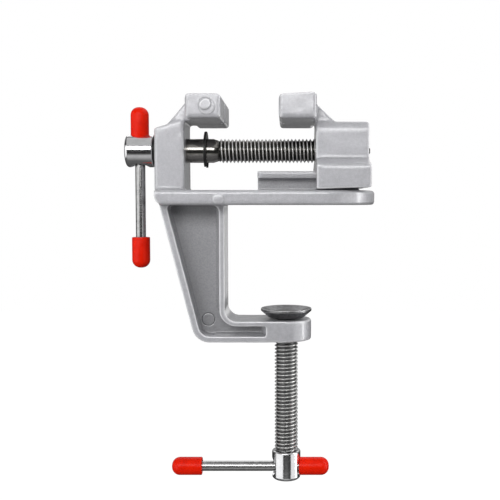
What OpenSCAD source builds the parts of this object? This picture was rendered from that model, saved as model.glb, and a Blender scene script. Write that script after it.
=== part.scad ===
// Clamp-on table vise: two aluminium castings, a jaw screw and a clamp screw, each turned by a
// capped tommy bar. Millimetres. +X runs along the jaw screw away from its head, +Y across the
// jaws, +Z up. The origin is on the clamp screw's axis, at the beam's underside, which rests on
// the table top.

/* [Jaws] */
// Width of the fixed jaw
jaw_w = 37.4; // [32:0.2:46]
// Width of the moving jaw
mover_jaw_w = 36.6; // [32:0.2:46]
// Thickness of the fixed jaw, along the screw
jaw_t = 11.3; // [8:0.1:14]
// Thickness of the moving jaw, along the screw
mover_jaw_t = 12; // [8:0.1:14]
// Height of the fixed jaw
jaw_h = 7.6; // [6:0.1:12]
// Height of the moving jaw at its grip face
mover_jaw_h = 7.5; // [6:0.1:12]
// Rise of the moving jaw's top, from its grip face to its back
mover_jaw_rise = 0.7; // [0:0.1:1.5]
// Opening between the grip faces, as drawn
jaw_gap = 18.3; // [12:0.1:24]
// Distance from the fixed grip face to the clamp screw's axis
grip_setback = 20.6; // [16:0.1:26]
// Height of the jaws' undersides above the jaw screw's axis
jaw_lift = 9.2; // [8:0.1:14]
// Depth of the upright V groove in each grip face
groove_depth = 2; // [1:0.1:3]

/* [Post] */
// Thickness of the post, along the screw
post_t = 9.9; // [8:0.1:14]
// Width of the post
post_w = 18; // [15:0.1:24]
// Gap between the post and the back of the fixed jaw, which the gusset bridges
neck_l = 1.5; // [0.5:0.1:4]
// Fall of the post's top, from the jaw side to the head side
post_fall = 2.8; // [1:0.1:4]
// Height of the post's top above the jaw's underside, on the jaw side
post_lip = 0.6; // [0:0.1:1.5]
// Radius of the fillet round the post's foot
foot_r = 1.2; // [0.6:0.1:2]
// Width of the fixed gusset
gusset_w = 17; // [10:0.1:17.4]
// Distance of the fixed gusset's top below the jaw's top
gusset_drop = 0.2; // [0.1:0.1:3]
// Length of the fixed gusset's foot, from the back of the jaw
gusset_l = 7; // [5:0.1:9]

/* [Beam and rail] */
// Width of the beam
beam_w = 35; // [30:0.1:44]
// Thickness of the beam
beam_t = 4.8; // [4:0.1:8]
// Reach of the beam's round end past the clamp screw's axis
beam_reach = 29.8; // [24:0.1:40]
// Setback of the beam's left corners from the post's outer face
beam_taper = 1.4; // [0.5:0.1:3]
// Radius of the beam's lower left edge
heel_r = 3.1; // [1:0.1:4]
// Height of the jaw screw's axis above the beam
axis_h = 13.4; // [12.5:0.1:20]
// Start of the rail, left of the clamp screw's axis
rail_start = 9.4; // [4:0.1:14]
// End of the rail, right of the clamp screw's axis
rail_end = 24.2; // [18:0.1:27]
// Width of the rail's web
rail_web_w = 12; // [8:0.1:14]
// Height of the rail's web
rail_web_h = 3.9; // [3:0.1:4.2]
// Width of the rail's flange
rail_flange_w = 20; // [16:0.1:24]
// Thickness of the rail's flange
rail_flange_t = 2.3; // [1.6:0.1:2.8]

/* [Moving jaw body] */
// Length of the body, along the screw
body_l = 17.5; // [14:0.1:22]
// Width of the upper body, round the screw
body_w = 18; // [15:0.1:20]
// Height of the upper body's top above the jaw screw's axis
body_lift = 9.3; // [8:0.1:11]
// Radius of the upper body's crown
crown_r = 3; // [1:0.1:4]
// Width of the moving gusset
mover_gusset_w = 15; // [10:0.1:16]
// Distance of the moving gusset's top below the jaw's top
mover_gusset_drop = 2.2; // [0.6:0.1:3]
// Length of the moving gusset's foot, from the back of the jaw
mover_gusset_l = 6.2; // [4:0.1:10]
// Width of the saddle
saddle_w = 35; // [30:0.1:44]
// Height of the saddle's outer top edge above the beam
saddle_edge_h = 8.1; // [7.6:0.1:10]
// Height of the saddle's top above the beam, where it meets the upper body
saddle_root_h = 10.4; // [8.5:0.1:12]
// Rise of the saddle's underside along its length
saddle_rise = 0.6; // [0:0.1:1]

/* [Clamp leg] */
// Depth of the throat, from the clamp screw's axis to the leg
throat_depth = 20.4; // [18.5:0.1:30]
// Height of the throat, from the beam to the arm
throat_h = 38.7; // [30:0.1:60]
// Width of the leg, arm and ribs
leg_w = 17; // [12:0.1:18]
// Length of the leg's top, where it meets the beam
leg_top_l = 21.4; // [16:0.1:22.4]
// Length of the leg's foot, at the arm's underside
leg_foot_l = 9.7; // [8.5:0.1:14]
// Height of the arm
arm_h = 7; // [6:0.1:10]
// Thickness of the web between the pockets
web_t = 5; // [3:0.1:8]
// Thickness of the rib along the throat, at its front
throat_rib = 1.8; // [1.5:0.1:3]
// Draft of the throat rib's inner side, over the depth of the pocket
throat_draft = 0.9; // [0.5:0.1:2.4]
// Thickness of the rib along the outer edge
outer_rib = 2.2; // [1.5:0.1:3]
// Thickness of the rib along the arm's underside
bottom_rib = 2; // [1.5:0.1:2.6]
// Draft of the bottom rib's upper side, over the depth of the pocket
bottom_draft = 0.4; // [0.3:0.1:1.2]
// Thickness of the rib along the arm's top
arm_rib = 1.6; // [1.2:0.1:2]
// Radius of the leg's outer bottom corner
outer_corner_r = 6; // [4.2:0.1:7]
// Radius of the throat's bottom corner
throat_corner_r = 4; // [2:0.1:6]
// Diameter of the boss round the clamp screw
boss_d = 17; // [14:0.1:18]
// Distance from the clamp screw's axis to the end of the arm's pockets
boss_block = 6.8; // [5.6:0.1:8]

/* [Jaw screw] */
// Outer diameter of both screws
screw_d = 8; // [6:0.1:8.6]
// Free length of the shank between the post and the retaining ring
ring_float = 6; // [1:0.1:7]
// Length of the shank past the retaining ring
shank_tail = 2.2; // [1.5:0.1:4]
// Length of the taper from the shank to the thread
taper_l = 1.9; // [1:0.1:3]
// Diameter of the relief at the thread's start
relief_d = 7.2; // [5.4:0.1:7.4]
// Length of the thread, from the relief to its chamfered end
jaw_thread_l = 50.1; // [44:0.1:60]
// Diameter of the turned pip on the screw's end
pip_d = 1.9; // [1:0.1:3]
// Length of the turned pip
pip_l = 0.8; // [0.3:0.1:1.5]
// Chamfer at the ends of both threads
thread_chamfer = 0.6; // [0.3:0.1:0.8]
// Diameter of the spigots that hold the heads
spigot_d = 5; // [3:0.1:5.2]
// Length of the spigots
spigot_l = 2.4; // [1.5:0.1:2.6]

/* [Retaining ring and washer] */
// Outer diameter of the retaining ring
ring_d = 13; // [12:0.1:14]
// Thickness of the retaining ring
ring_t = 0.7; // [0.5:0.1:1.2]
// Depth of the ring's groove in the shank
groove_cut = 1; // [0.5:0.1:1.2]
// Radial width of the ring's band
ring_band = 2; // [1.4:0.1:2.2]
// Width of the ring's mouth
ring_mouth = 5.4; // [4:0.1:5.6]
// Outer diameter of the thrust washer
washer_d = 10.4; // [9.6:0.1:14]
// Thickness of the thrust washer
washer_t = 1.2; // [0.5:0.1:2]

/* [Heads and handles] */
// Diameter of the jaw screw's head
jaw_head_d = 11; // [9.5:0.1:14]
// Length of the jaw screw's head
jaw_head_l = 9.4; // [8.6:0.1:13]
// Distance from the jaw head's inner face to its cross hole
jaw_cross = 4.9; // [4.6:0.1:5.6]
// Diameter of the clamp screw's head
clamp_head_d = 9.8; // [9.5:0.1:14]
// Length of the clamp screw's head
clamp_head_l = 9.9; // [9:0.1:13]
// Distance from the clamp head's inner face to its cross hole
clamp_cross = 5.8; // [4.6:0.1:5.9]
// Radius of both heads' rounded edges
head_edge_r = 1.1; // [0.4:0.1:1.5]
// Diameter of both tommy bars
bar_d = 3.4; // [2.4:0.1:3.6]
// Length of bar between its caps
bar_free_l = 33.4; // [24:0.1:50]
// Outer diameter of the caps
cap_d = 6.1; // [5:0.1:7]
// Length of the caps
cap_l = 10.4; // [9:0.1:14]
// Depth of the caps' holes
cap_depth = 7.8; // [5:0.1:8]
// Depth of the caps' seats below the widest chord that fits them
seat_sink = 0.2; // [0.1:0.05:0.5]
// Gap between the clamp bar's right cap and its seat, as drawn
clamp_slack = 0.8; // [0:0.1:10]

/* [Clamp screw and pad] */
// Length of the clamp screw's thread, from its head to the pad
clamp_thread_l = 46.1; // [42:0.1:70]
// Gap between the pad and the boss, as drawn
pad_gap = 0.4; // [0.3:0.1:20]
// Diameter of the pad's rim
pad_d = 17.3; // [14:0.1:24]
// Diameter of the pad's flat underside
pad_base_d = 12; // [9.5:0.1:13]
// Height of the pad
pad_h = 3.1; // [2.6:0.1:5]
// Thickness of the pad's floor
pad_floor = 1.3; // [0.8:0.1:1.5]
// Width of the pad's flat rim
pad_rim = 0.8; // [0.4:0.1:1.5]
// Diameter of the neck that the pad swivels on
neck_d = 5; // [3:0.1:5.2]
// Diameter of the neck's swaged tip
tip_d = 7; // [6:0.1:8]
// Height of the swaged tip
tip_h = 0.9; // [0.4:0.1:1]

/* [Clearances and edges] */
// Radial clearance of shafts that turn or slide in bores
running_gap = 0.05; // [0.02:0.01:0.1]
// Clearance round the rail
slide_gap = 0.3; // [0.2:0.05:0.5]
// Clearance under the saddle
saddle_gap = 0.3; // [0.2:0.05:0.6]
// Axial play of the pad and of the retaining ring
end_play = 0.05; // [0.02:0.01:0.1]
// Radius of the castings' outer edges
edge_r = 1.2; // [0.6:0.1:1.6]

/* [Hidden] */
$fn = 64;
overlap = 1;

// Heights
axis_z = beam_t + axis_h;
jaw_bottom = axis_z + jaw_lift;
jaw_top = jaw_bottom + jaw_h;
mover_jaw_top = jaw_bottom + mover_jaw_h;
body_top = axis_z + body_lift;
flange_z = beam_t + rail_web_h;
rail_top = flange_z + rail_flange_t;
arm_top = -throat_h;
arm_bottom = arm_top - arm_h;

// Stations along the jaw screw, from left to right
jaw_front = -grip_setback;
jaw_back = jaw_front - jaw_t;
post_right = jaw_back - neck_l;
post_left = post_right - post_t;
head_face = post_left - washer_t;
ring_x = post_right + ring_float;
taper_x = ring_x + ring_t + shank_tail;
thread_x = taper_x + taper_l;
screw_end = thread_x + jaw_thread_l;
mover_front = jaw_front + jaw_gap;
mover_back = mover_front + mover_jaw_t;
body_right = mover_back + body_l;

// Clamp screw
pad_z = arm_top + pad_gap;
clamp_head_z = pad_z - clamp_thread_l;
leg_left = -throat_depth - leg_top_l;
foot_left = -throat_depth - leg_foot_l;
leg_slope = (foot_left - leg_left) / arm_bottom;
rib_run = outer_rib * sqrt(1 + leg_slope * leg_slope);
pocket_depth = (leg_w - web_t) / 2;

// Seats of the caps in the heads' spot faces
seat_d = cap_d + 6 * running_gap;
jaw_seat = sqrt(pow(jaw_head_d / 2, 2) - pow(seat_d / 2, 2)) - seat_sink;
clamp_seat = sqrt(pow(clamp_head_d / 2, 2) - pow(seat_d / 2, 2)) - seat_sink;
jaw_cross_x = head_face - jaw_cross;
clamp_cross_z = clamp_head_z - clamp_cross;

cast_grey = [0.74, 0.74, 0.76];
steel_grey = [0.55, 0.55, 0.57];
chrome_grey = [0.82, 0.82, 0.84];
dark_grey = [0.3, 0.3, 0.31];
ring_black = [0.08, 0.08, 0.08];
cap_red = [0.85, 0.1, 0.05];

// Corner geometry: each corner is [x, y, radius], anticlockwise
function unit(v) = v / norm(v);
function point(c) = [c[0], c[1]];
function before(cs, i) = point(cs[(i + len(cs) - 1) % len(cs)]);
function after(cs, i) = point(cs[(i + 1) % len(cs)]);
function half_angle(cs, i) =
    let (p = point(cs[i]), u = unit(before(cs, i) - p), v = unit(after(cs, i) - p))
    acos(u * v) / 2;
function is_hollow(cs, i) =
    let (p = point(cs[i]), u = p - before(cs, i), v = after(cs, i) - p)
    u[0] * v[1] - u[1] * v[0] < 0;
function tangents(cs, i) =
    let (
        p = point(cs[i]),
        u = unit(before(cs, i) - p),
        v = unit(after(cs, i) - p),
        run = cs[i][2] / tan(half_angle(cs, i))
    )
    cs[i][2] > 0 ? [p + u * run, p + v * run] : [p];
function centre(cs, i) =
    let (p = point(cs[i]), u = unit(before(cs, i) - p), v = unit(after(cs, i) - p))
    p + unit(u + v) * cs[i][2] / sin(half_angle(cs, i));

// Closed outline with true arcs at its corners
module outline(cs) {
    difference() {
        union() {
            polygon([for (i = [0:len(cs) - 1]) each tangents(cs, i)]);
            for (i = [0:len(cs) - 1])
                if (cs[i][2] > 0 && !is_hollow(cs, i))
                    translate(centre(cs, i)) circle(r = cs[i][2]);
        }
        for (i = [0:len(cs) - 1])
            if (cs[i][2] > 0 && is_hollow(cs, i))
                translate(centre(cs, i)) circle(r = cs[i][2]);
    }
}

// Corners of a rectangle with one radius
function box_corners(x0, y0, x1, y1, r) = [[x0, y0, r], [x1, y0, r], [x1, y1, r], [x0, y1, r]];

// Outline in X and Z, as thick as w across the vise
module side_slab(cs, w) {
    rotate([90, 0, 0]) linear_extrude(w, center = true) outline(cs);
}

// Outline in Y and Z, from x0 to x1
module end_slab(cs, x0, x1) {
    translate([x0, 0, 0]) rotate([90, 0, 90]) linear_extrude(x1 - x0) outline(cs);
}

// Outline in X and Y, from z0 to z1
module plan_slab(cs, z0, z1) {
    translate([0, 0, z0]) linear_extrude(z1 - z0) outline(cs);
}

// Turned shape about Z, from an outline in radius and height
module turned(cs) {
    low = min([for (c = cs) c[1]]);
    high = max([for (c = cs) c[1]]);
    reach = max([for (c = cs) c[0]]);
    rotate_extrude()
        intersection() {
            outline(cs);
            translate([0, low]) square([reach, high - low]);
        }
}

module along_x(x, z) {
    translate([x, 0, z]) rotate([0, 90, 0]) children();
}

module bore_x(x0, x1, d) {
    along_x(x0, axis_z) cylinder(d = d, h = x1 - x0);
}

// Jaw block between two stations, with rounded edges and a V groove in the grip face
module jaw_block(x0, x1, w, z0, top_left, top_right, grip_x) {
    z1 = max(top_left, top_right);
    side = [[x0, z0, edge_r], [x1, z0, edge_r], [x1, top_right, edge_r], [x0, top_left, edge_r]];
    difference() {
        intersection() {
            side_slab(side, w);
            end_slab(box_corners(-w / 2, z0, w / 2, z1 + overlap, edge_r), x0, x1);
            plan_slab(box_corners(x0, -w / 2, x1, w / 2, edge_r), z0, z1);
        }
        translate([grip_x, 0, z0 - overlap])
            rotate(45)
                translate([-groove_depth / sqrt(2), -groove_depth / sqrt(2), 0])
                    cube([groove_depth * sqrt(2), groove_depth * sqrt(2), z1 - z0 + 2 * overlap]);
    }
}

// Slab that bounds the beam's left end, with the rounded heel
module beam_end() {
    l = 2 * (beam_reach - post_left);
    side_slab([[0, 0, heel_r], [l, 0, 0], [l, beam_t, 0], [0, beam_t, edge_r / 2]], 3 * beam_w);
}

// Beam: a flat plate with a tapered left end and a round right end
module beam() {
    half = beam_w / 2;
    round_x = beam_reach - half;
    taper = atan2(beam_taper, half - post_w / 2);
    intersection() {
        end_slab(box_corners(-half, 0, half, beam_t, edge_r), post_left - overlap, round_x);
        translate([post_left, 0, 0]) beam_end();
        translate([post_left, -post_w / 2, 0]) rotate(taper) beam_end();
        translate([post_left, post_w / 2, 0]) rotate(-taper) beam_end();
    }
    translate([round_x, 0, 0])
        rotate([0, 0, -90])
            rotate_extrude(angle = 180)
                outline([[0, 0, 0], [half, 0, edge_r], [half, beam_t, edge_r], [0, beam_t, 0]]);
}

// T rail that carries the moving jaw
module rail() {
    web = rail_web_w / 2;
    flange = rail_flange_w / 2;
    edge = edge_r / 2;
    section = [
        [-web, beam_t - overlap, 0], [web, beam_t - overlap, 0], [web, flange_z, 0],
        [flange, flange_z, edge], [flange, rail_top, edge],
        [-flange, rail_top, edge], [-flange, flange_z, edge], [-web, flange_z, 0]
    ];
    intersection() {
        end_slab(section, -rail_start, rail_end);
        plan_slab(box_corners(-rail_start, -flange, rail_end, flange, edge_r), 0, rail_top + overlap);
    }
}

// Post round the jaw screw, with its sloping top
module post() {
    top = jaw_bottom + post_lip;
    side = [
        [post_left, 0, heel_r], [post_right, 0, 0],
        [post_right, top, edge_r / 2], [post_left, top - post_fall, edge_r]
    ];
    intersection() {
        side_slab(side, post_w);
        plan_slab(box_corners(post_left, -post_w / 2, post_right, post_w / 2, edge_r), 0, top);
        end_slab(box_corners(-post_w / 2, -overlap, post_w / 2, top, edge_r), post_left, post_right);
    }
}

// Fillets where the post stands on the beam
module post_foot() {
    half = post_w / 2;
    low = beam_t - overlap;
    high = beam_t + 2 * foot_r;
    end_slab(
        [
            [-half - foot_r, low, 0], [half + foot_r, low, 0], [half + foot_r, beam_t, 0],
            [half, beam_t, foot_r], [half, high, 0],
            [-half, high, 0], [-half, beam_t, foot_r], [-half - foot_r, beam_t, 0]
        ],
        post_left + edge_r, post_right - edge_r
    );
    side_slab(
        [
            [post_right - post_t / 2, low, 0], [post_right + foot_r, low, 0],
            [post_right + foot_r, beam_t, 0], [post_right, beam_t, foot_r],
            [post_right, high, 0], [post_right - post_t / 2, high, 0]
        ],
        post_w - 2 * edge_r
    );
}

// Sloping rib from the post's top to the back of the fixed jaw
module fixed_gusset() {
    reach = jaw_back + overlap;
    top = jaw_top - gusset_drop;
    foot = jaw_bottom + post_lip - post_fall / post_t * (gusset_l - neck_l);
    cs = [
        [jaw_back - gusset_l, foot - overlap, 0], [post_right - overlap / 2, foot - overlap, 0],
        [post_right - overlap / 2, jaw_bottom, 0], [reach, jaw_bottom, 0],
        [reach, top, 0], [jaw_back, top, 0], [jaw_back - gusset_l, foot, 0]
    ];
    side_slab(cs, gusset_w);
}

// Pockets that leave ribs and a web in the leg and the arm
module leg_pocket() {
    right = -throat_depth - throat_rib;
    top = arm_top - arm_rib;
    bottom = arm_bottom + bottom_rib;
    cs = [
        [leg_left + rib_run, 0, edge_r],
        [leg_left + rib_run + leg_slope * bottom, bottom, outer_corner_r - bottom_rib],
        [-boss_block, bottom, edge_r / 2], [-boss_block, top, edge_r / 2],
        [right, top, throat_corner_r + arm_rib], [right, 0, 2 * edge_r]
    ];
    outline(cs);
}

// Drafted sides of the throat rib and the bottom rib, in the pockets
module rib_drafts() {
    rib_x = -throat_depth - throat_rib;
    rib_z = arm_bottom + bottom_rib;
    web = web_t / 2;
    front = leg_w / 2 - edge_r / 2;
    foot_x = foot_left + outer_corner_r;
    for (side = [-1, 1])
        scale([1, side, 1]) {
            translate([0, 0, arm_top + throat_corner_r])
                linear_extrude(throat_h - throat_corner_r)
                    polygon([
                        [rib_x + overlap / 2, web - overlap], [rib_x + overlap / 2, front],
                        [rib_x, front], [rib_x - throat_draft, web], [rib_x - throat_draft, web - overlap]
                    ]);
            translate([foot_x, 0, 0])
                rotate([90, 0, 90])
                    linear_extrude(-boss_block - foot_x + overlap / 2)
                        polygon([
                            [web - overlap, rib_z - overlap / 2], [front, rib_z - overlap / 2],
                            [front, rib_z], [web, rib_z + bottom_draft], [web - overlap, rib_z + bottom_draft]
                        ]);
        }
}

// Leg and arm of the C-shaped clamp, with the boss round the clamp screw
module clamp_leg() {
    sunk = beam_t / 2;
    cs = [
        [leg_left - leg_slope * -sunk, sunk, 0], [foot_left, arm_bottom, outer_corner_r],
        [0, arm_bottom, 0], [0, arm_top, 0],
        [-throat_depth, arm_top, throat_corner_r], [-throat_depth, sunk, 0]
    ];
    difference() {
        side_slab(cs, leg_w);
        for (side = [-1, 1])
            translate([0, side * (web_t / 2 + pocket_depth), 0])
                rotate([90, 0, 0])
                    linear_extrude(2 * pocket_depth, center = true)
                        leg_pocket();
    }
    translate([0, 0, arm_bottom])
        turned([[0, 0, 0], [boss_d / 2, 0, edge_r / 2], [boss_d / 2, arm_h, edge_r / 2], [0, arm_h, 0]]);
}

// Frame casting: fixed jaw, post, beam with rail, and clamp leg
module frame_casting() {
    color(cast_grey)
        difference() {
            union() {
                beam();
                rail();
                post();
                post_foot();
                fixed_gusset();
                jaw_block(jaw_back, jaw_front, jaw_w, jaw_bottom, jaw_top, jaw_top, jaw_front);
                clamp_leg();
                rib_drafts();
            }
            bore_x(post_left - overlap, post_right + overlap, screw_d + 2 * running_gap);
            translate([0, 0, arm_bottom - overlap])
                cylinder(d = screw_d + 2 * running_gap, h = arm_h + 2 * overlap);
        }
}

// Upper body of the moving jaw, round the screw
module upper_body() {
    low = beam_t + saddle_edge_h - overlap;
    intersection() {
        side_slab(
            [
                [mover_back, low, 0], [body_right, low, 0],
                [body_right, body_top, edge_r], [mover_back, body_top, 0]
            ],
            body_w
        );
        end_slab(
            [
                [-body_w / 2, low, 0], [body_w / 2, low, 0],
                [body_w / 2, body_top, crown_r], [-body_w / 2, body_top, crown_r]
            ],
            mover_back, body_right
        );
        plan_slab(
            box_corners(mover_back, -body_w / 2, body_right, body_w / 2, edge_r / 2),
            low, body_top
        );
    }
}

// Saddle that rides on the rail, with its T slot
module saddle() {
    half = saddle_w / 2;
    low = beam_t + saddle_gap;
    edge_z = beam_t + saddle_edge_h;
    root_z = beam_t + saddle_root_h;
    web = rail_web_w / 2 + slide_gap;
    flange = rail_flange_w / 2 + slide_gap;
    difference() {
        intersection() {
            side_slab(
                [
                    [mover_back, low, edge_r / 2], [body_right, low + saddle_rise, edge_r / 2],
                    [body_right, root_z, 0], [mover_back, root_z, 0]
                ],
                saddle_w
            );
            end_slab(
                [
                    [-half, low, 0], [half, low, 0], [half, edge_z, edge_r / 2],
                    [body_w / 2, root_z, 0], [-body_w / 2, root_z, 0], [-half, edge_z, edge_r / 2]
                ],
                mover_back, body_right
            );
            plan_slab(box_corners(mover_back, -half, body_right, half, edge_r / 2), low, root_z);
        }
        end_slab(
            [
                [-web, low - overlap, 0], [web, low - overlap, 0], [web, flange_z - slide_gap, 0],
                [flange, flange_z - slide_gap, 0], [flange, rail_top + slide_gap, 0],
                [-flange, rail_top + slide_gap, 0], [-flange, flange_z - slide_gap, 0],
                [-web, flange_z - slide_gap, 0]
            ],
            mover_back - overlap, body_right + overlap
        );
    }
}

// Sloping rib from the upper body's top to the back of the moving jaw
module moving_gusset() {
    reach = mover_back - overlap;
    top = mover_jaw_top + mover_jaw_rise - mover_gusset_drop;
    cs = [
        [reach, jaw_bottom, 0], [mover_back + overlap / 2, jaw_bottom, 0],
        [mover_back + overlap / 2, body_top - crown_r, 0],
        [mover_back + mover_gusset_l, body_top - crown_r, 0],
        [mover_back + mover_gusset_l, body_top, 0], [mover_back, top, 0], [reach, top, 0]
    ];
    side_slab(cs, mover_gusset_w);
}

// Moving jaw casting: jaw, screw body and saddle
module moving_jaw() {
    color(cast_grey)
        difference() {
            union() {
                upper_body();
                saddle();
                moving_gusset();
                jaw_block(
                    mover_front, mover_back, mover_jaw_w, jaw_bottom,
                    mover_jaw_top, mover_jaw_top + mover_jaw_rise, mover_front
                );
            }
            bore_x(mover_back - overlap, body_right + overlap, screw_d + 2 * running_gap);
        }
}

// Jaw screw: spigot, shank with the ring's groove, taper, thread and turned pip
module jaw_screw() {
    r = screw_d / 2;
    ring_slot = ring_t + 2 * end_play;
    relief_l = taper_l / 3;
    cs = [
        [0, -spigot_l, 0], [spigot_d / 2, -spigot_l, 0], [spigot_d / 2, 0, 0], [r, 0, 0],
        [r, ring_x - end_play - head_face, 0],
        [r - groove_cut, ring_x - end_play - head_face, 0],
        [r - groove_cut, ring_x - end_play + ring_slot - head_face, 0],
        [r, ring_x - end_play + ring_slot - head_face, 0],
        [r, taper_x - head_face, 0],
        [relief_d / 2, thread_x - relief_l - head_face, 0],
        [relief_d / 2, thread_x - head_face, 0],
        [r, thread_x + thread_chamfer - head_face, 0],
        [r, screw_end - thread_chamfer - head_face, 0],
        [r - thread_chamfer, screw_end - head_face, 0],
        [pip_d / 2, screw_end - head_face, 0],
        [pip_d / 2, screw_end + pip_l - head_face, 0],
        [0, screw_end + pip_l - head_face, 0]
    ];
    color(dark_grey) along_x(head_face, axis_z) turned(cs);
}

// Turned head on its inner face, with a spigot hole and a spot-faced cross hole along X
module head(d, l, cross, seat) {
    difference() {
        turned([[0, 0, 0], [d / 2, 0, head_edge_r / 2], [d / 2, l, head_edge_r], [0, l, 0]]);
        translate([0, 0, -overlap])
            cylinder(d = spigot_d + running_gap, h = spigot_l + end_play + overlap);
        translate([-d, 0, cross])
            rotate([0, 90, 0])
                cylinder(d = bar_d + 2 * running_gap, h = 2 * d);
        for (side = [0, 180])
            rotate([0, 0, side])
                translate([seat, 0, cross])
                    rotate([0, 90, 0])
                        cylinder(d = seat_d, h = d);
    }
}

module jaw_screw_head() {
    color(chrome_grey)
        translate([head_face, 0, axis_z])
            rotate([0, -90, 0])
                head(jaw_head_d, jaw_head_l, jaw_cross, jaw_seat);
}

// Thrust washer between the head and the post
module thrust_washer() {
    hole = screw_d / 2 + running_gap;
    edge = washer_t / 4;
    color(ring_black)
        along_x(head_face, axis_z)
            turned([
                [hole, 0, 0], [washer_d / 2, 0, edge],
                [washer_d / 2, washer_t, edge], [hole, washer_t, 0]
            ]);
}

// Retaining ring: an E-shaped clip with three lands on the groove and its mouth downwards
module retaining_ring() {
    outer = ring_d / 2;
    land = screw_d / 2 - groove_cut + running_gap;
    relief = outer - ring_band;
    land_half = 24;
    color(ring_black)
        translate([ring_x, 0, axis_z])
            rotate([90, 0, 90])
                linear_extrude(ring_t)
                    difference() {
                        circle(r = outer);
                        circle(r = land);
                        for (side = [-1, 1])
                            intersection() {
                                circle(r = relief);
                                polygon([
                                    [0, 0],
                                    2 * outer * [side * sin(land_half), cos(land_half)],
                                    2 * outer * [side, 0],
                                    2 * outer * [side * cos(land_half), -sin(land_half)]
                                ]);
                            }
                        polygon([
                            [-ring_mouth / 2, 0], [-ring_mouth * 0.65, -outer],
                            [ring_mouth * 0.65, -outer], [ring_mouth / 2, 0]
                        ]);
                    }
}

// Bar along X through a head's cross hole, with its right cap against the seat
module bar(seat) {
    l = bar_free_l + 2 * cap_depth;
    edge = bar_d / 12;
    translate([seat - bar_free_l - cap_depth, 0, 0])
        rotate([0, 90, 0])
            turned([[0, 0, 0], [bar_d / 2, 0, edge], [bar_d / 2, l, edge], [0, l, 0]]);
}

// Soft cap with a domed end, from its rim at z = 0
module cap() {
    r = cap_d / 2;
    hole = bar_d / 2 + running_gap;
    dome = 0.85 * r;
    rim = (r - hole) / 4;
    difference() {
        turned([[0, 0, 0], [r, 0, rim], [r, cap_l, dome], [0, cap_l, 0]]);
        translate([0, 0, -overlap]) cylinder(r = hole, h = cap_depth + overlap);
    }
}

// Places of the two handles: the bar's own X runs up on the jaw screw, right on the clamp screw
module on_jaw_head() {
    translate([jaw_cross_x, 0, axis_z]) rotate([0, -90, 0]) children();
}

module on_clamp_head() {
    translate([clamp_slack, 0, clamp_cross_z]) children();
}

module right_cap(seat) {
    color(cap_red) translate([seat, 0, 0]) rotate([0, 90, 0]) cap();
}

module left_cap(seat) {
    color(cap_red) translate([seat - bar_free_l, 0, 0]) rotate([0, -90, 0]) cap();
}

module jaw_handle_bar() {
    color(steel_grey) on_jaw_head() bar(jaw_seat);
}

module jaw_handle_upper_cap() {
    on_jaw_head() right_cap(jaw_seat);
}

module jaw_handle_lower_cap() {
    on_jaw_head() left_cap(jaw_seat);
}

// Clamp screw: spigot, thread, and the neck with the swaged tip that holds the pad
module clamp_screw() {
    r = screw_d / 2;
    neck_top = clamp_thread_l + pad_floor + 2 * end_play;
    cs = [
        [0, -spigot_l, 0], [spigot_d / 2, -spigot_l, 0], [spigot_d / 2, 0, 0],
        [r - thread_chamfer, 0, 0], [r, thread_chamfer, 0],
        [r, clamp_thread_l - thread_chamfer, 0], [r - thread_chamfer, clamp_thread_l, 0],
        [neck_d / 2, clamp_thread_l, 0], [neck_d / 2, neck_top, 0],
        [tip_d / 2, neck_top, 0], [tip_d / 2, neck_top + tip_h, tip_h / 2], [0, neck_top + tip_h, 0]
    ];
    color(steel_grey) translate([0, 0, clamp_head_z]) turned(cs);
}

module clamp_screw_head() {
    color(chrome_grey)
        translate([0, 0, clamp_head_z])
            rotate([180, 0, 0])
                head(clamp_head_d, clamp_head_l, clamp_cross, clamp_seat);
}

// Dished pad that swivels on the neck
module clamp_pad() {
    hole = neck_d / 2 + running_gap;
    rim = pad_d / 2;
    base = pad_base_d / 2;
    floor_r = tip_d / 2 + pad_floor / 2;
    cs = [
        [hole, 0, 0], [base, 0, pad_floor / 2], [rim, pad_h - pad_rim, pad_rim / 4],
        [rim, pad_h, pad_rim / 4], [rim - pad_rim, pad_h, pad_rim / 4],
        [floor_r, pad_floor, pad_floor / 2], [hole, pad_floor, 0]
    ];
    color(dark_grey) translate([0, 0, pad_z + end_play]) turned(cs);
}

module clamp_handle_bar() {
    color(steel_grey) on_clamp_head() bar(clamp_seat);
}

module clamp_handle_left_cap() {
    on_clamp_head() left_cap(clamp_seat);
}

module clamp_handle_right_cap() {
    on_clamp_head() right_cap(clamp_seat);
}

frame_casting();
moving_jaw();
jaw_screw();
jaw_screw_head();
thrust_washer();
retaining_ring();
jaw_handle_bar();
jaw_handle_upper_cap();
jaw_handle_lower_cap();
clamp_screw();
clamp_screw_head();
clamp_pad();
clamp_handle_bar();
clamp_handle_left_cap();
clamp_handle_right_cap();
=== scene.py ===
"""Looks of the clamp-on table vise: soft cast edges, cut threads, turned heads, dipped caps, studio.

Lengths are in millimetres, in the frame of the solids, until they become vertices. The lamps and
the patterns of the floor are in metres.
"""

import math

import bmesh
import bpy
import numpy as np
from mathutils import Matrix, Vector, noise

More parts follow.
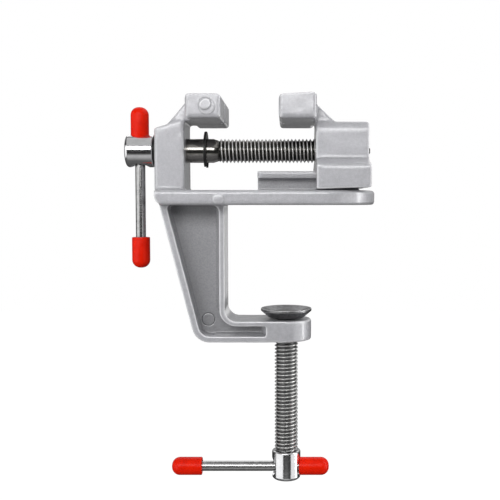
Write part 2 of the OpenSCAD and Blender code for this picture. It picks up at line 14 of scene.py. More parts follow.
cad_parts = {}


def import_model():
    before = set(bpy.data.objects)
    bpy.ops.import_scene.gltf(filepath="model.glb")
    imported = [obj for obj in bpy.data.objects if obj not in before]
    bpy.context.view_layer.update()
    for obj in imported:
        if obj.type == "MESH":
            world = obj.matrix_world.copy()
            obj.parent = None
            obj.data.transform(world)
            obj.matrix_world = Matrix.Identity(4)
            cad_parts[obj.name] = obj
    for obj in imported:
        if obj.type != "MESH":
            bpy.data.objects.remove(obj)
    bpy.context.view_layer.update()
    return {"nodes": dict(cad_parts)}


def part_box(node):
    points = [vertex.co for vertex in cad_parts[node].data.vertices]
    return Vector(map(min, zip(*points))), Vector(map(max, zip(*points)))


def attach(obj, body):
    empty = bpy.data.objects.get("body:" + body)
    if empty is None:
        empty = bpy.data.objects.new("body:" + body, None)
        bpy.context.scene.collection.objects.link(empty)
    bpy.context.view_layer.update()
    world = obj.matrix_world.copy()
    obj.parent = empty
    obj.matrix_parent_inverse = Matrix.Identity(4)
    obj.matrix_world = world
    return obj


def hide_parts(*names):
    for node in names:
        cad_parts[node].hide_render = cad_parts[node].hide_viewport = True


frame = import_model()

MM = 0.001
TURN = 2 * math.pi
ORIGIN = 0, 0, 0
TO_RIGHT, TO_LEFT = (1, 0, 0), (-1, 0, 0)
UP, DOWN = (0, 0, 1), (0, 0, -1)

# Camera, fitted to the photograph: tilted down a little, and shifted sideways to frame the vise
IMAGE_PX = 500
FOCAL_PX = 790
SENSOR_MM = 36
DEPTH_LINES_MEET_PX = (288, 203)
CAMERA_PLACE = Vector((0.6, -268.6, 0.64))
CAMERA_CLIP_M = 0.01

# Meshes
WELD_DISTANCE = 0.001
SHARP_DEGREES = 40
SMOOTH_FACTOR = 0.5
LATHE_STEPS = 72
ON_AXIS = 1e-6
STEP_RISE = 1e-4

# Castings
CAST_VOXEL = 0.22
CAST_SMOOTHING = 6
CAST_WAVE = 0.04
CAST_WAVE_LENGTH = 4.0
RIM_SMOOTHING = 16
RIM_GAIN = 4.0
BLEND_SMOOTHING = 60
BLEND_FADE = 2.0
FIXED_GUSSET = (-42, -8.6, 24), (-32.5, 8.6, 36)
MOVING_GUSSET = (8.5, -8, 25), (18, 8, 36)
MOVING_SHOULDERS = (12.5, -20, 12), (25, 20, 28)

# Faces of the frame that keep their duller as-cast skin, also painted darker as shade in these recesses: the
# leg's pockets and the rail
POCKET_FLOOR = 2.5
RAIL_START = -15
RAIL_WEB = 6.1
RAIL_FLANGE_Z = 8.7
RAIL_TOP = 11.5
DULL_SHADE_DEPTH = 0.5, 1.1
DULL_SHADE_FACING = 0.6, 0.9
FLANGE_FADE = 0.3
RAIL_TOP_FADE = 0.5
FLANGE_DULL_AND_SHADE = 0.5

# Marks that the ejector pins left on the frame: centre, radius and height
JAW_DISC = (-25.5, -18, 31.8), 2.0, 0.3
JAW_HALO = (-24.9, -18, 30.9), 2.6, 0.18
BEAM_BOSS = (-21.6, -17.5, 1.8), 1.8, 0.28
WEB_RING = (-26.4, -2.5, -38.7), 2.15, -0.25
MARK_EDGE = 0.4
MARK_REACH = 2
MARK_FACING = -0.7
GROOVE_SHADE_REACH = 1

# Threads, both right-handed
PITCH = 1.25
THREAD_DEPTH = 0.68
CREST_FLAT = 0.12
FLANK_SHARE = 0.68
FLANK_ROUNDING = 0.35
STEPS_PER_PITCH = 14
THREAD_CHAMFER = 0.6

# Screws
SPIGOT_RADIUS = 2.5
RING_GROOVE_DEPTH = 1.0
RING_GROOVE_PLAY = 0.05
SHANK_TAIL = 2.2
TAPER_LENGTH = 1.9
RELIEF_LENGTH = TAPER_LENGTH / 3
RELIEF_RADIUS = 3.6
PIP_RADIUS = 0.95
PIP_LENGTH = 0.8
PIP_CHAMFER = 0.15
NECK_RADIUS = 2.5
TIP_RADIUS = 3.5
TIP_HEIGHT = 0.9
PAD_GAP = 0.05

# Heads, washer, retaining ring and pad
HEAD_VOXEL = 0.1
HEAD_SMOOTHING = 5
WASHER_HOLE = 4.05
RING_FLAT_DEGREES = 1
RING_SHARP_DEGREES = 50
RING_BEVEL = 0.08
RING_BEVEL_SEGMENTS = 2
PAD_VOXEL = 0.12
PAD_SMOOTHING = 4

# Caps
CAP_HOLE_RADIUS = 1.75
CAP_HOLE_DEPTH = 7.8
CAP_RIM = 0.3
CAP_RIM_STEPS = 4
CAP_CROWN = 0.9
CAP_CROWN_STEPS = 16

# Range that holds most values of a noise texture
NOISE_LOW, NOISE_HIGH = 0.3, 0.7

# World: levels of its light, and the parts of a direction's Y or Z over which they change
WORLD_FRONT = 0.02
WORLD_BACK = 0.2
WORLD_SIDES_Y = -0.2, 0.35
WORLD_BELOW = 0.05
WORLD_HORIZON_Z = -0.25, 0.1
MIRRORED_BACKDROP = 0.15
BACKDROP_Y = 0.6, 0.9

# Floor: its glow for the camera, by distance from the origin, and a glowing patch that only reflections see,
# a painted reflection of a lit floor in front
FLOOR_Z = -450
FLOOR_SIZE = 3000
FLOOR_TONE = 0.12, 0.15
FLOOR_GLOW = 0.9, 1.0
FLOOR_GLOW_REACH = 0.4, 0.9
GLOW_PATCH_PLACE = 0, -0.6, FLOOR_Z * MM
GLOW_PATCH_RADIUS = 0.2, 0.5
GLOW_PATCH_LEVEL = 0.4

# Lamps: name, place, target, size, watts, and whether metal mirrors them
LAMPS = (
    ("front", (-0.08, -0.465, 0.17), ORIGIN, (0.46, 0.16), 1.3, True),
    ("fill", (-0.55, -0.6, -0.08), ORIGIN, (0.5, 0.5), 1.1, False),
    ("ceiling", (0.0, -0.3, 0.75), ORIGIN, (1.1, 1.1), 2.0, True),
    ("left", (-0.6, -0.36, -0.05), (0, 0, -0.05), (0.9, 0.8), 2.6, True),
    ("right", (0.66, -0.24, -0.05), (0, 0, -0.05), (0.9, 0.8), 2.2, True),
    ("back", (0.0, 0.6, 0.55), ORIGIN, (0.9, 0.6), 1.8, True),
    ("edge", (0.13, 0.8, -0.07), (0, 0, -0.02), (0.16, 0.12), 0.045, True),
    ("strip", (0.6, -0.06, 0.2), ORIGIN, (0.12, 1.2), 2.6, True),
)

# Pieces


def box(node):
    """Lowest and highest corner of a solid, in millimetres."""
    low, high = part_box(node)
    return low / MM, high / MM


def finish_mesh(name, bm):
    """Object from a mesh in millimetres, smooth but for its sharp edges."""
    bmesh.ops.scale(bm, vec=(MM, MM, MM), verts=bm.verts)
    bmesh.ops.recalc_face_normals(bm, faces=bm.faces)
    limit = math.radians(SHARP_DEGREES)
    for face in bm.faces:
        face.smooth = True
    for edge in bm.edges:
        edge.smooth = not edge.is_manifold or edge.calc_face_angle(0) < limit
    mesh = bpy.data.meshes.new(name)
    bm.to_mesh(mesh)
    bm.free()
    piece = bpy.data.objects.new(name, mesh)
    bpy.context.scene.collection.objects.link(piece)
    return piece


def dress(piece, body, slot, material, *nodes):
    """Gives a piece its material and the body that it moves with, and hides the solids it stands for."""
    piece.data.materials.clear()
    piece.data.materials.append(material)
    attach(piece, body)
    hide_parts(*nodes)
    return piece


def solid_mesh(node):
    """Mesh of a solid, welded, in millimetres."""
    bm = bmesh.new()
    bm.from_mesh(frame["nodes"][node].data)
    bmesh.ops.scale(bm, vec=(1 / MM, 1 / MM, 1 / MM), verts=bm.verts)
    bmesh.ops.remove_doubles(bm, verts=bm.verts, dist=WELD_DISTANCE)
    return bm


def applied(piece):
    """Replaces a piece's mesh by the result of its modifiers."""
    shown = piece.evaluated_get(bpy.context.evaluated_depsgraph_get())
    mesh = bpy.data.meshes.new_from_object(shown)
    piece.modifiers.clear()
    piece.data = mesh


def smooth(piece, passes):
    modifier = piece.modifiers.new("smooth", "SMOOTH")
    modifier.factor = SMOOTH_FACTOR
    modifier.iterations = passes


def soften(piece, voxel, passes):
    """Turns a piece into an even mesh with rounded edges and filled corners."""
    remesh = piece.modifiers.new("remesh", "REMESH")
    remesh.mode = "VOXEL"
    remesh.voxel_size = voxel * MM
    smooth(piece, passes)
    applied(piece)
    piece.data.shade_smooth()


def vectors(elements, field):
    """A vector of each element of a mesh, one per row."""
    flat = np.empty(3 * len(elements), np.float32)
    elements.foreach_get(field, flat)
    return flat.reshape(-1, 3)


def places(piece):
    """Vertices of a piece, in millimetres."""
    return vectors(piece.data.vertices, "co") / MM


def normals(piece):
    return vectors(piece.data.vertex_normals, "vector")


def move_to(piece, spots):
    piece.data.vertices.foreach_set("co", (spots * MM).astype(np.float32).ravel())
    piece.data.update()


def step(value, start, end):
    """Rises from 0 to 1 between two values."""
    share = np.clip((value - start) / (end - start), 0, 1)
    return share * share * (3 - 2 * share)


def blend(piece, regions):
    """Smooths a casting further in some boxes, where its forms flow into each other."""
    crisp = places(piece)
    smooth(piece, BLEND_SMOOTHING)
    applied(piece)
    beyond = [np.max(np.maximum(low - crisp, crisp - high), axis=1) for low, high in regions]
    share = 1 - step(np.min(beyond, axis=0), 0, BLEND_FADE)
    move_to(piece, crisp + (places(piece) - crisp) * share[:, None])


def ripple(piece, height, length):
    """Moves a casting's skin in and out a little, as on a small die casting."""
    spots = places(piece)
    waves = np.array([noise.noise(Vector(spot)) for spot in spots / length])
    move_to(piece, spots + normals(piece) * (waves * height)[:, None])


def disc_mark(distance, radius):
    return 1 - step(distance, radius - MARK_EDGE, radius)


def ring_mark(distance, radius):
    return 1 - step(np.abs(distance - radius), 0, MARK_EDGE / 2)


def dome_mark(distance, radius):
    return np.sqrt(np.clip(1 - (distance / radius) ** 2, 0, 1))


def emboss(piece, centre, radius, height, form):
    """Raises or sinks a round mark in the faces that look to the front."""
    spots = places(piece)
    away = spots - centre
    front = (np.abs(away[:, 1]) < MARK_REACH) & (normals(piece)[:, 1] < MARK_FACING)
    spots[:, 1] -= front * height * form(np.hypot(away[:, 0], away[:, 2]), radius)
    move_to(piece, spots)


def note(piece, name, values):
    """Keeps a value per vertex for the materials."""
    attribute = piece.data.attributes.new(name, "FLOAT", "POINT")
    attribute.data.foreach_set("value", values.astype(np.float32))


def mark_rims(piece):
    """Notes how far each spot stands out: 0.5 on flat faces, more on edges and less in corners."""
    crisp = places(piece)
    outward = normals(piece)
    smooth(piece, RIM_SMOOTHING)
    applied(piece)
    out = np.sum((crisp - places(piece)) * outward, axis=1)
    move_to(piece, crisp)
    note(piece, "rim", np.clip(0.5 + RIM_GAIN * out, 0, 1))


def mark_dull_skin_and_shade(piece):
    """Notes the floors of the leg's pockets and the rail's sides, which keep their dull as-cast skin and get
    painted shade.
    """
    spots = places(piece)
    depth = np.abs(spots[:, 1]) - np.where(spots[:, 2] < 0, POCKET_FLOOR, RAIL_WEB)
    inside = 1 - step(depth, *DULL_SHADE_DEPTH)
    facing = step(np.abs(normals(piece)[:, 1]), *DULL_SHADE_FACING)
    flange = step(spots[:, 2], RAIL_FLANGE_Z - FLANGE_FADE, RAIL_FLANGE_Z + FLANGE_FADE)
    under_top = 1 - step(spots[:, 2], RAIL_TOP, RAIL_TOP + RAIL_TOP_FADE)
    rail = flange * under_top * (spots[:, 0] > RAIL_START)
    note(piece, "dull_skin_and_shade", np.maximum(inside * (1 - flange), rail * FLANGE_DULL_AND_SHADE) * facing)


def mark_groove_shade(piece, centre, radius):
    """Notes a thin ring in a face that looks to the front, for painted shade in the groove."""
    away = places(piece) - centre
    near = (np.abs(away[:, 1]) < GROOVE_SHADE_REACH) & (normals(piece)[:, 1] < 0)
    note(piece, "groove", near * ring_mark(np.hypot(away[:, 0], away[:, 2]), radius))


# Turned shapes


def axis_matrix(place, direction):
    """Places a shape that was made along +Z at a point, along a direction."""
    turn = Vector(UP).rotation_difference(Vector(direction)).to_matrix().to_4x4()
    return Matrix.Translation(place) @ turn


def arc(centre, radius, start, end, steps=8):
    """Points of an arc in (radius, height), with angles in degrees from the outward direction."""
    angles = [math.radians(start + (end - start) * i / steps) for i in range(steps + 1)]
    return [(centre[0] + radius * math.cos(a), centre[1] + radius * math.sin(a)) for a in angles]


def rounded_side(radius, length, edge):
    """Outer side of a disc or bar in (radius, height), with both edges rounded."""
    inner = radius - edge
    return arc((inner, edge), edge, -90, 0) + arc((inner, length - edge), edge, 0, 90)


def lathe_mesh(profile, place, direction, radius_of):
    """Mesh turned from (radius, height) points; radius_of may cut the radius by angle and height."""
    bm = bmesh.new()
    circles = []
    for radius, height in profile:
        if radius < ON_AXIS:
            circles.append([bm.verts.new((0, 0, height))])
            continue
        circle = []
        for i in range(LATHE_STEPS):
            angle = TURN * i / LATHE_STEPS
            r = radius_of(radius, height, angle) if radius_of else radius
            circle.append(bm.verts.new((r * math.cos(angle), r * math.sin(angle), height)))
        circles.append(circle)
    pairs = list(zip(circles, circles[1:]))
    if len(circles[0]) > 1 and len(circles[-1]) > 1:
        pairs.append((circles[-1], circles[0]))
    for low, high in pairs:
        for i in range(LATHE_STEPS):
            k = (i + 1) % LATHE_STEPS
            if len(low) == 1:
                bm.faces.new((low[0], high[i], high[k]))
            elif len(high) == 1:
                bm.faces.new((low[i], low[k], high[0]))
            else:
                bm.faces.new((low[i], low[k], high[k], high[i]))
    bmesh.ops.transform(bm, matrix=axis_matrix(place, direction), verts=bm.verts)
    return bm


def turned(name, profile, place, direction, radius_of=None):
    return finish_mesh(name, lathe_mesh(profile, place, direction, radius_of))


def thread_cut(height, angle):
    """Depth of a right-hand thread at a height and an angle, from 0 at the crest to 1 at the root."""
    phase = (height / PITCH - angle / TURN) % 1.0
    from_crest = abs(phase - 0.5) * 2
    flank = min(max((from_crest - CREST_FLAT) / FLANK_SHARE, 0.0), 1.0)
    rounded = flank * flank * (3 - 2 * flank)
    return rounded * FLANK_ROUNDING + flank * (1 - FLANK_ROUNDING)


def with_thread(profile, crest, start, end):
    """Adds stations between two heights of a profile, and a function that cuts the thread there."""
    count = int((end - start) / PITCH * STEPS_PER_PITCH)
    stations = [start + (end - start) * i / count for i in range(count + 1)]

    def crest_at(height):
        run = min(height - start, end - height)
        return crest - max(0.0, THREAD_CHAMFER - run)

    def radius_of(radius, height, angle):
        if not start <= height <= end:
            return radius
        root = crest - THREAD_DEPTH
        deep = crest - THREAD_DEPTH * thread_cut(height, angle)
        return max(min(crest_at(height), deep), min(radius, root))

    before = [p for p in profile if p[1] < start]
    after = [p for p in profile if p[1] > end]
    return before + [(crest_at(h), h) for h in stations] + after, radius_of


def ends(node, direction):
    """Start point, length and radius of a turned solid that lies along a direction."""
    low, high = box(node)
    along = Vector(direction)
    centre = (low + high) / 2
    half = (high - low) / 2
    reach = abs(half.dot(Vector([abs(c) for c in along])))
    radius = max(h for h, c in zip(half, along) if abs(c) < 0.5)
    return centre - along * reach, 2 * reach, radius


# Materials


class Nodes:
    """A node tree under construction: nodes are added one at a time and wired by socket name."""

    def __init__(self, tree):
        self.tree = tree

    def feed(self, socket, value):
        """Links an output to a socket, or sets the socket's own value."""
        if isinstance(value, bpy.types.NodeSocket):
            self.tree.links.new(value, socket)
        else:
            socket.default_value = value

    def set(self, node, **sockets):
        for name, value in sockets.items():
            self.feed(node.inputs[name.replace("_", " ")], value)
        return node

    def add(self, kind, **sockets):
        return self.set(self.tree.nodes.new("ShaderNode" + kind), **sockets)

    def span(self, value, limits, low=0.0, high=1.0, form="LINEAR"):
        """Carries a value from its limits over to the range from low to high."""
        start, end = limits
        node = self.add("MapRange", Value=value, From_Min=start, From_Max=end, To_Min=low, To_Max=high)
        node.interpolation_type = form
        return node.outputs["Result"]

    def compute(self, operation, first, second):
        node = self.add("Math")
        node.operation = operation
        self.feed(node.inputs[0], first)
        self.feed(node.inputs[1], second)
        return node.outputs["Value"]


class Finish(Nodes):
    """A material under construction, around its Principled shader."""

    def __init__(self, name, metallic, roughness):
        self.material = bpy.data.materials.new(name)
        self.material.use_nodes = True
        super().__init__(self.material.node_tree)
        self.bsdf = self.tree.nodes["Principled BSDF"]
        self.set(self.bsdf, Metallic=metallic, Roughness=roughness)
        self.place = self.add("TexCoord").outputs["Object"]

    def noise(self, scale, detail=3.0, stretch=(1, 1, 1)):
        """Noise with about so many lumps per metre, made finer along each axis by the stretch."""
        mapping = self.add("Mapping", Vector=self.place, Scale=stretch)
        node = self.add("TexNoise", Vector=mapping.outputs["Vector"], Scale=scale, Detail=detail)
        return node.outputs["Fac"]

    def ramp(self, value, *stops):
        """Colour ramp over a value, from two stops of (position, colour or level)."""
        node = self.add("ValToRGB", Fac=value)
        for element, (position, colour) in zip(node.color_ramp.elements, stops):
            element.position = position
            level = colour if isinstance(colour, tuple) else (colour, colour, colour)
            element.color = (*level, 1)
        return node.outputs["Color"]

    def vary(self, texture, low, high):
        """A colour or level that follows a noise texture."""
        return self.ramp(texture, (NOISE_LOW, low), (NOISE_HIGH, high))

    def mix(self, amount, a, b, mode="MIX"):
        node = self.tree.nodes.new("ShaderNodeMix")
        node.data_type = "RGBA"
        node.blend_type = mode
        for index, value in ((0, amount), (6, a), (7, b)):
            self.feed(node.inputs[index], (*value, 1) if isinstance(value, tuple) else value)
        return node.outputs[2]

    def multiply(self, tone, level):
        return self.mix(1.0, tone, level, "MULTIPLY")

    def bump(self, height, strength, distance_mm, under=None):
        node = self.add("Bump", Height=height, Strength=strength, Distance=distance_mm * MM)
        if under:
            self.set(node, Normal=under)
        return node.outputs["Normal"]

    def noted(self, name):
        """A value that the mesh keeps per vertex, 0 where it has none."""
        node = self.add("Attribute")
        node.attribute_name = name
        return node.outputs["Fac"]

    def crest(self):
        """How high a spot of a thread stands, from 0 at the root to 1 at the crest, 0.5 elsewhere."""
        return self.span(self.noted("crest"), (-0.5, 0.5))

    def crest_wear_and_highlight(self):
        """How far a spot is on the top of a thread's crest, which wear makes duller and which wear and a
        painted highlight make brighter.
        """
        return self.ramp(self.crest(), (0.55, 0.0), (0.9, 1.0))

    def thread_shade_and_highlight(self, tone, root, bright):
        """A tone with painted shade at the root of a thread, and brighter on its crest from wear and a
        painted highlight.
        """
        tone = self.multiply(tone, self.ramp(self.crest(), (0.0, root), (0.45, 1.0)))
        return self.mix(self.crest_wear_and_highlight(), tone, bright)

    def distance(self, place):
        """Distance of a spot from a place, in metres."""
        node = self.add("VectorMath", Vector=self.place)
        node.operation = "DISTANCE"
        node.inputs[1].default_value = place
        return node.outputs["Value"]


def cast_aluminium():
    """Tumbled die casting: satin silver grey with a fine grain, duller and darker in its pockets, partly as
    painted shade; painted shade in its corners, and edges lighter from rubbing and a painted highlight.
    """
    f = Finish("cast_aluminium", 0.25, 0.5)
    rim, pocket_dull_and_shade = f.noted("rim"), f.noted("dull_skin_and_shade")
    grain = f.noise(4200, 2.0)
    skin = f.vary(f.noise(220), (0.46, 0.46, 0.485), (0.50, 0.50, 0.527))
    skin = f.multiply(skin, f.vary(grain, 0.86, 1.0))
    skin = f.multiply(skin, f.ramp(f.noise(1000, 4.0), (0.32, 0.94), (0.68, 1.06)))
    # Pockets and rail sides: a duller as-cast skin, darker also as painted shade in these recesses.
    skin = f.mix(pocket_dull_and_shade, skin, f.vary(f.noise(2600, 2.0), (0.29, 0.29, 0.303), (0.36, 0.36, 0.376)))
    # Painted shade: corners and creases are darkened.
    skin = f.multiply(skin, f.ramp(rim, (0.34, 0.75), (0.47, 1.0)))
    # Painted shade: the thin ring groove of the ejector mark on the web is darkened.
    skin = f.multiply(skin, f.ramp(f.noted("groove"), (0.1, 1.0), (0.7, 0.4)))
    # Edges lighter from rubbing, and partly a painted highlight.
    rubbed_and_highlit = f.mix(pocket_dull_and_shade, f.ramp(rim, (0.56, 0.0), (0.74, 0.6)), (0.0, 0.0, 0.0))
    relief = f.bump(grain, 0.2, 0.05, f.bump(f.noise(1500), 0.15, 0.1))
    f.set(f.bsdf, Base_Color=f.mix(rubbed_and_highlit, skin, (0.82, 0.82, 0.84)))
    f.set(f.bsdf, Roughness=f.vary(f.noise(900), 0.45, 0.55), Normal=relief)
    f.set(f.bsdf, Coat_Weight=1.0, Coat_Roughness=0.16, Coat_IOR=1.6, Coat_Normal=relief)
    return f.material


def dark_nickel():
    """Dark plating of the jaw screw: warm grey and smooth, with painted shade in the thread's roots; the
    crests are duller from wear and brighter from wear and a painted highlight.
    """
    f = Finish("dark_plated_steel", 1.0, 0.24)
    tone = f.vary(f.noise(700), (0.25, 0.24, 0.225), (0.33, 0.318, 0.30))
    polish = f.vary(f.noise(2500), 0.12, 0.22)
    # Painted shade in the thread's roots, and crests brighter from wear and a painted highlight.
    f.set(f.bsdf, Base_Color=f.thread_shade_and_highlight(tone, 0.22, (0.80, 0.79, 0.78)))
    f.set(f.bsdf, Roughness=f.mix(f.crest_wear_and_highlight(), polish, (0.5, 0.5, 0.5)))
    f.set(f.bsdf, Normal=f.bump(f.noise(4000, 2.0), 0.1, 0.02))
    return f.material


def zinc(name, level, roughness, stretch):
    """Bright zinc of the clamp screw and the bars, with a faint grain that the stretch turns into lines."""
    f = Finish(name, 1.0, roughness)
    tone = f.vary(f.noise(600), 0.85 * level, 1.15 * level)
    lines = f.noise(3000, 2.0, stretch)
    # Painted shade in the thread's roots, and crests brighter from wear and a painted highlight.
    f.set(f.bsdf, Base_Color=f.thread_shade_and_highlight(tone, 0.35, (0.80, 0.80, 0.79)))
    f.set(f.bsdf, Roughness=f.vary(lines, 0.8 * roughness, 1.2 * roughness))
    f.set(f.bsdf, Normal=f.bump(lines, 0.08, 0.02))
    return f.material


def chrome():
    """Polished heads, a little uneven and clouded."""
    f = Finish("polished_chrome", 1.0, 0.08)
    f.set(f.bsdf, Base_Color=f.vary(f.noise(500), (0.72, 0.72, 0.73), (0.80, 0.80, 0.81)))
    f.set(f.bsdf, Roughness=f.vary(f.noise(2500), 0.10, 0.20))
    f.set(f.bsdf, Normal=f.bump(f.noise(1800, 2.0), 0.05, 0.03, f.bump(f.noise(450), 0.2, 0.1)))
    return f.material


def black_oxide():
    """Blackened spring steel of the ring and the washer."""
    f = Finish("black_steel", 0.6, 0.4)
    f.set(f.bsdf, Base_Color=f.vary(f.noise(1500), 0.012, 0.03))
    f.set(f.bsdf, Roughness=f.vary(f.noise(3000), 0.32, 0.5))
    return f.material


def gunmetal():
    """Dark plated pad, lighter on its rim from rubbing and a painted highlight."""
    f = Finish("gunmetal_steel", 1.0, 0.32)
    tone = f.vary(f.noise(900), (0.14, 0.14, 0.144), (0.22, 0.22, 0.225))
    # Rim lighter from rubbing, and partly a painted highlight.
    rubbed_and_highlit = f.ramp(f.noted("rim"), (0.54, 0.0), (0.66, 0.8))
    f.set(f.bsdf, Base_Color=f.mix(rubbed_and_highlit, tone, (0.75, 0.75, 0.75)))
    f.set(f.bsdf, Roughness=f.vary(f.noise(2500), 0.26, 0.40))
    f.set(f.bsdf, Normal=f.bump(f.noise(3500, 2.0), 0.1, 0.04))
    return f.material


def vinyl():
    """Dip-moulded red caps: softly glossy, with a faint orange peel."""
    f = Finish("red_vinyl", 0.0, 0.4)
    tone = f.vary(f.noise(350), (0.72, 0.010, 0.001), (0.82, 0.015, 0.001))
    f.set(f.bsdf, Base_Color=tone, Specular_IOR_Level=0.12)
    f.set(f.bsdf, Roughness=f.vary(f.noise(1200), 0.26, 0.36))
    f.set(f.bsdf, Normal=f.bump(f.noise(1100, 2.0), 0.12, 0.06))
    return f.material


CAST = cast_aluminium()
NICKEL = dark_nickel()
ZINC_TURNED = zinc("zinc_turned", 0.42, 0.34, (1, 1, 6))
ZINC_DRAWN = zinc("zinc_drawn", 0.48, 0.24, (1, 1, 1))
CHROME = chrome()
BLACK = black_oxide()
GUNMETAL = gunmetal()
VINYL = vinyl()

# Castings

FRAME_MARKS = (
    (*JAW_HALO, disc_mark), (*JAW_DISC, disc_mark), (*BEAM_BOSS, dome_mark), (*WEB_RING, ring_mark),
)


def casting(node, body, blends, marks=()):
    piece = finish_mesh(node + "_skin", solid_mesh(node))
    soften(piece, CAST_VOXEL, CAST_SMOOTHING)
    blend(piece, blends)
    ripple(piece, CAST_WAVE, CAST_WAVE_LENGTH)
    for mark in marks:
        emboss(piece, *mark)
    mark_rims(piece)
    return dress(piece, body, "cast_aluminium", CAST, node)


frame_skin = casting("frame_casting", "frame", (FIXED_GUSSET,), FRAME_MARKS)
mark_dull_skin_and_shade(frame_skin)
mark_groove_shade(frame_skin, *WEB_RING[:2])
casting("moving_jaw", "moving_jaw", (MOVING_GUSSET, MOVING_SHOULDERS))

# Screws


def mark_crests(piece, place, axis, start, crest):
    """Notes how high each spot of a thread stands, from -0.5 at the root to 0.5 at the crest."""
    away = places(piece) - np.array(place)
    along = away[:, axis].copy()
    away[:, axis] = 0
    high = step(np.linalg.norm(away, axis=1), crest - THREAD_DEPTH, crest)
    note(piece, "crest", (high - 0.5) * (along > start))


def jaw_screw():
    """Spigot in the head, shank with the retaining ring's groove, taper, thread and end pip."""
    place, length, radius = ends("jaw_screw", TO_RIGHT)
    ring_low, ring_high = box("retaining_ring")
    spigot = box("jaw_screw_head")[1].x - place.x
    groove_start = ring_low.x - RING_GROOVE_PLAY - place.x
    groove_end = ring_high.x + RING_GROOVE_PLAY - place.x
    groove_radius = radius - RING_GROOVE_DEPTH
    taper = ring_high.x + SHANK_TAIL - place.x
    thread = taper + TAPER_LENGTH
    end = length - PIP_LENGTH
    profile = [(0, 0), (SPIGOT_RADIUS, 0), (SPIGOT_RADIUS, spigot), (radius, spigot)]
    profile += [(radius, groove_start), (groove_radius, groove_start + STEP_RISE)]
    profile += [(groove_radius, groove_end), (radius, groove_end + STEP_RISE)]
    profile += [(radius, taper), (RELIEF_RADIUS, thread - RELIEF_LENGTH)]
    profile += [(PIP_RADIUS, end + STEP_RISE), (PIP_RADIUS, length - PIP_CHAMFER)]
    profile += [(PIP_RADIUS - PIP_CHAMFER, length), (0, length)]
    profile, cut = with_thread(profile, radius, thread, end)
    piece = turned("jaw_screw_thread", profile, place, TO_RIGHT, cut)
    mark_crests(piece, place, 0, thread, radius)
    dress(piece, "jaw_spindle", "dark_plated_steel", NICKEL, "jaw_screw")


def clamp_screw():
    """Spigot in the head, thread, and the neck and swaged tip that hold the pad."""
    place, length, radius = ends("clamp_screw", UP)
    spigot = box("clamp_screw_head")[1].z - place.z
    pad_low = box("clamp_pad")[0].z - place.z
    shoulder = length - TIP_HEIGHT
    half = TIP_HEIGHT / 2
    profile = [(0, 0), (SPIGOT_RADIUS, 0), (SPIGOT_RADIUS, spigot - STEP_RISE)]
    profile += [(NECK_RADIUS, pad_low), (NECK_RADIUS, shoulder), (TIP_RADIUS, shoulder + STEP_RISE)]
    profile += arc((TIP_RADIUS - half, length - half), half, 0, 90) + [(0, length)]
    profile, cut = with_thread(profile, radius, spigot, pad_low - PAD_GAP)
    piece = turned("clamp_screw_thread", profile, place, UP, cut)
    mark_crests(piece, place, 2, spigot, radius)
    dress(piece, "clamp_spindle", "plated_steel", ZINC_TURNED, "clamp_screw")


jaw_screw()
clamp_screw()

# Heads, washer, retaining ring and pad


def head(node, body):
    piece = finish_mesh(node + "_turned", solid_mesh(node))
    soften(piece, HEAD_VOXEL, HEAD_SMOOTHING)
    dress(piece, body, "polished_chrome", CHROME, node)


def thrust_washer():
    place, length, radius = ends("thrust_washer", TO_RIGHT)
    side = rounded_side(radius, length, length / 3)
    profile = [(WASHER_HOLE, 0)] + side + [(WASHER_HOLE, length)]
    piece = turned("thrust_washer_turned", profile, place, TO_RIGHT)
    dress(piece, "jaw_spindle", "black_steel", BLACK, "thrust_washer")


def retaining_ring():
    bm = solid_mesh("retaining_ring")
    flat = math.radians(RING_FLAT_DEGREES)
    bmesh.ops.dissolve_limit(bm, angle_limit=flat, verts=bm.verts, edges=bm.edges)
    limit = math.radians(RING_SHARP_DEGREES)
    sharp = [e for e in bm.edges if e.is_manifold and e.calc_face_angle(0) > limit]
    bmesh.ops.bevel(
        bm, geom=sharp, offset=RING_BEVEL, segments=RING_BEVEL_SEGMENTS, affect="EDGES", profile=0.5
    )
    piece = finish_mesh("retaining_ring_clip", bm)
    dress(piece, "jaw_spindle", "black_steel", BLACK, "retaining_ring")


def clamp_pad():
    piece = finish_mesh("clamp_pad_dish", solid_mesh("clamp_pad"))
    soften(piece, PAD_VOXEL, PAD_SMOOTHING)
    mark_rims(piece)
    dress(piece, "clamp_pad", "gunmetal_steel", GUNMETAL, "clamp_pad")


head("jaw_screw_head", "jaw_spindle")
head("clamp_screw_head", "clamp_spindle")
thrust_washer()
retaining_ring()
clamp_pad()

# Tommy bars and caps


def tommy_bar(node, body, direction):
    place, length, radius = ends(node, direction)
    profile = [(0, 0)] + rounded_side(radius, length, radius / 6) + [(0, length)]
    piece = turned(node + "_drawn", profile, place, direction)
    dress(piece, body, "plated_steel", ZINC_DRAWN, node)


def vinyl_cap(node, body, direction):
    """Hollow cap: the bar's hole, a rounded rim and a domed end."""
    place, length, radius = ends(node, direction)
    crown = CAP_CROWN * radius
    profile = [(0, CAP_HOLE_DEPTH), (CAP_HOLE_RADIUS, CAP_HOLE_DEPTH), (CAP_HOLE_RADIUS, CAP_RIM)]
    profile += arc((CAP_HOLE_RADIUS + CAP_RIM, CAP_RIM), CAP_RIM, 180, 270, CAP_RIM_STEPS)
    profile += arc((radius - CAP_RIM, CAP_RIM), CAP_RIM, -90, 0, CAP_RIM_STEPS)
    profile += arc((radius - crown, length - crown), crown, 0, 90, CAP_CROWN_STEPS) + [(0, length)]
    piece = turned(node + "_dipped", profile, place, direction)
    dress(piece, body, "red_vinyl", VINYL, node)


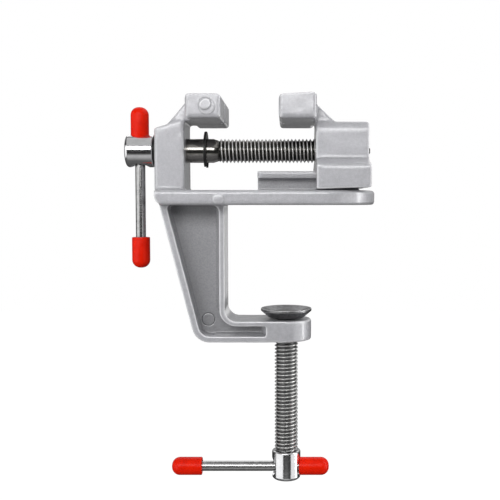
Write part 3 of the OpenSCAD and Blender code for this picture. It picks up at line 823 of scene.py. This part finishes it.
tommy_bar("jaw_handle_bar", "jaw_handle", UP)
vinyl_cap("jaw_handle_upper_cap", "jaw_handle", UP)
vinyl_cap("jaw_handle_lower_cap", "jaw_handle", DOWN)
tommy_bar("clamp_handle_bar", "clamp_handle", TO_RIGHT)
vinyl_cap("clamp_handle_left_cap", "clamp_handle", TO_LEFT)
vinyl_cap("clamp_handle_right_cap", "clamp_handle", TO_RIGHT)

# Camera and studio


def camera():
    across, down = DEPTH_LINES_MEET_PX
    pitch = math.atan((IMAGE_PX / 2 - down) / FOCAL_PX)
    data = bpy.data.cameras.new("camera")
    data.sensor_width = SENSOR_MM
    data.lens = FOCAL_PX * SENSOR_MM / IMAGE_PX
    data.shift_x = 0.5 - across / IMAGE_PX
    data.clip_start = CAMERA_CLIP_M
    eye = bpy.data.objects.new("camera", data)
    eye.location = CAMERA_PLACE * MM
    eye.rotation_euler = (math.pi / 2 - pitch, 0, 0)
    bpy.context.scene.collection.objects.link(eye)
    bpy.context.scene.camera = eye


def softbox(name, place, target, size, watts, mirrored):
    data = bpy.data.lights.new(name, "AREA")
    data.shape = "RECTANGLE"
    data.size, data.size_y = size
    data.energy = watts
    lamp = bpy.data.objects.new(name, data)
    lamp.location = place
    lamp.rotation_euler = (Vector(target) - Vector(place)).to_track_quat("-Z", "Y").to_euler()
    lamp.visible_glossy = mirrored
    bpy.context.scene.collection.objects.link(lamp)


def world():
    """White for the camera, dimmer in reflections; as light, dark towards the camera and below."""
    studio = bpy.data.worlds.new("studio")
    bpy.context.scene.world = studio
    studio.use_nodes = True
    n = Nodes(studio.node_tree)
    axes = n.add("SeparateXYZ", Vector=n.add("TexCoord").outputs["Generated"]).outputs
    behind = n.span(axes["Y"], WORLD_SIDES_Y, WORLD_FRONT, WORLD_BACK, "SMOOTHSTEP")
    below = n.span(axes["Z"], WORLD_HORIZON_Z, WORLD_BELOW, 1.0, "SMOOTHSTEP")
    backdrop = n.span(axes["Y"], BACKDROP_Y, 0.0, MIRRORED_BACKDROP, "SMOOTHSTEP")
    light = n.compute("MULTIPLY", behind, below)
    path = n.add("LightPath").outputs
    mirrored = n.compute("ADD", path["Is Glossy Ray"], path["Is Transmission Ray"])
    mirrored = n.compute("MULTIPLY", mirrored, backdrop)
    shown = n.compute("MAXIMUM", path["Is Camera Ray"], mirrored)
    strength = n.add("Mix", Factor=shown, A=light, B=1.0).outputs[0]
    n.set(n.tree.nodes["Background"], Color=(1, 1, 1, 1), Strength=strength)


def floor():
    """Paper floor: keeps the object's shadow, looks white to the camera, and glows in a patch that only
    reflections see, a painted reflection.
    """
    bm = bmesh.new()
    bmesh.ops.create_grid(bm, x_segments=1, y_segments=1, size=FLOOR_SIZE)
    bmesh.ops.translate(bm, verts=bm.verts, vec=(0, 0, FLOOR_Z))
    piece = finish_mesh("floor", bm)
    f = Finish("floor_paper", 0.0, 0.9)
    f.set(f.bsdf, Base_Color=f.vary(f.noise(40), *FLOOR_TONE))
    white = f.span(f.distance(ORIGIN), FLOOR_GLOW_REACH, *FLOOR_GLOW)
    # Painted reflection: a patch of the floor glows for reflected rays only.
    glow_patch = f.span(f.distance(GLOW_PATCH_PLACE), GLOW_PATCH_RADIUS, GLOW_PATCH_LEVEL, 0.0)
    path = f.add("LightPath").outputs
    mirrored = f.mix(path["Is Glossy Ray"], (0.0, 0.0, 0.0), glow_patch)
    glow = f.add("Emission", Color=f.mix(path["Is Camera Ray"], mirrored, white), Strength=1.0)
    both = f.add("AddShader")
    f.feed(both.inputs[0], f.bsdf.outputs[0])
    f.feed(both.inputs[1], glow.outputs[0])
    f.set(f.tree.nodes["Material Output"], Surface=both.outputs[0])
    piece.data.materials.append(f.material)


camera()
world()
floor()
for lamp in LAMPS:
    softbox(*lamp)
bpy.context.scene.view_settings.view_transform = "Standard"
